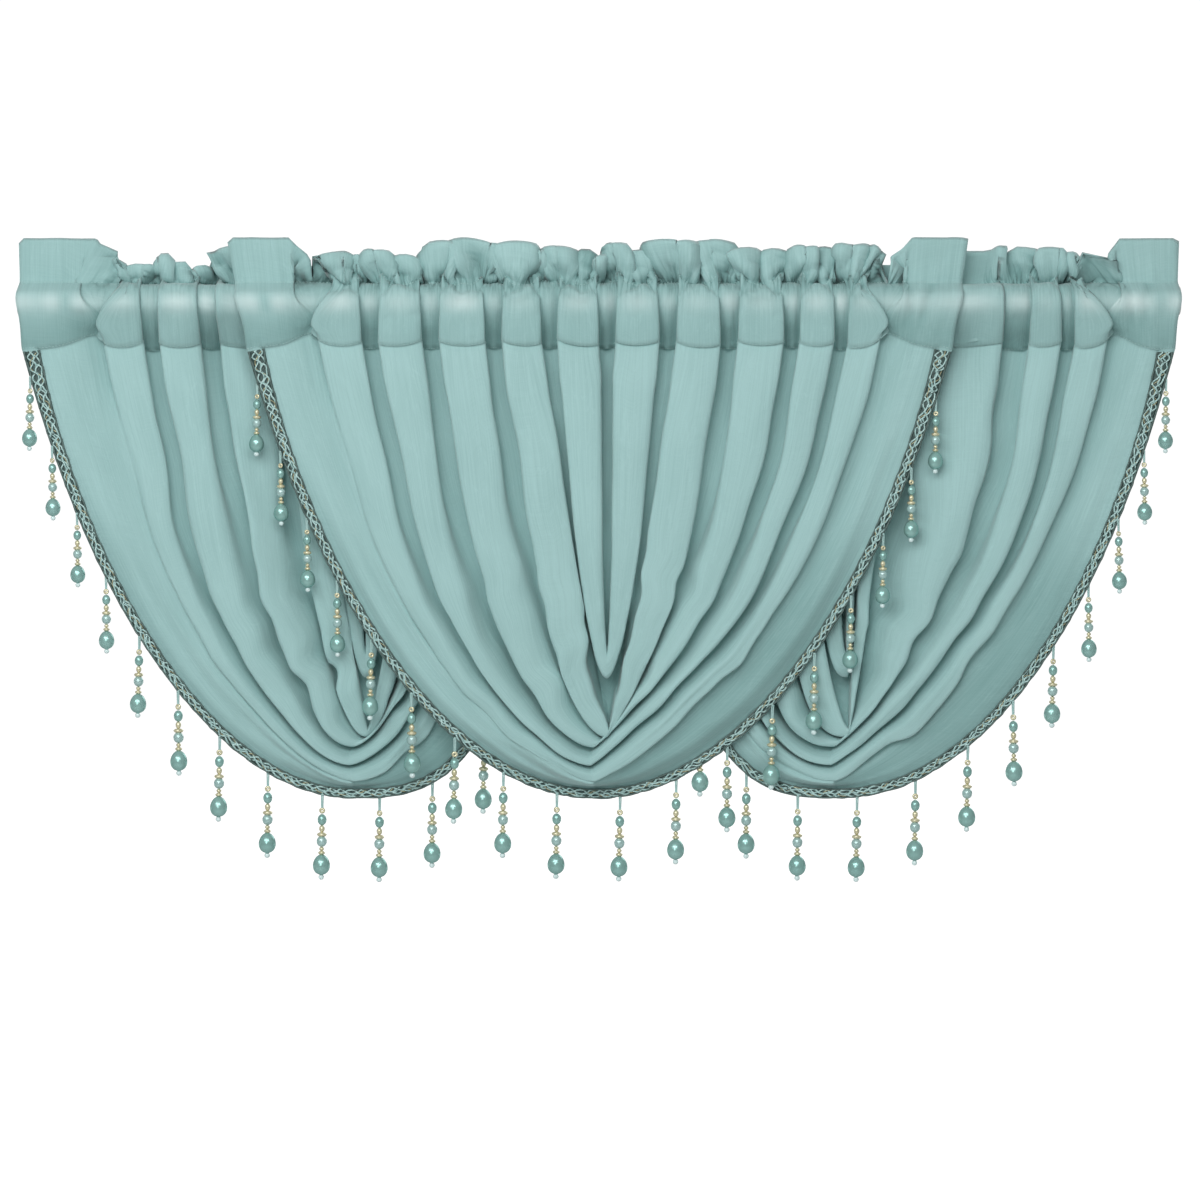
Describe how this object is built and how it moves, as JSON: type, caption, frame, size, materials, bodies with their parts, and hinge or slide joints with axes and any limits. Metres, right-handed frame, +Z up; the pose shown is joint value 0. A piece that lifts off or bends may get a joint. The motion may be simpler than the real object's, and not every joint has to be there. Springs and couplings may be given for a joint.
{
  "type": "rod pocket valance and rod",
  "caption": "Gathered swag valance of thin cloth with a ruffled header and a braided bead fringe, hung by its rod pockets on a plain round rod.",
  "frame": {"origin": "on the rod's axis at the middle of its length", "axes": "+X along the rod to the right as seen from the room, +Y away from the room, +Z up"},
  "size_m": [1.164, 0.0568, 0.6429],
  "materials": {
    "rod": "painted, satin",
    "cloth": "thin plain weave, faint sheen",
    "fringe": "pearl beads on a corded braid"
  },
  "bodies": {
    "root": {"rod": "rod", "swag_left": "cloth", "swag_middle": "cloth", "swag_right": "cloth", "trim_left": "fringe", "trim_middle": "fringe", "trim_right": "fringe"}
  },
  "joints": []
}
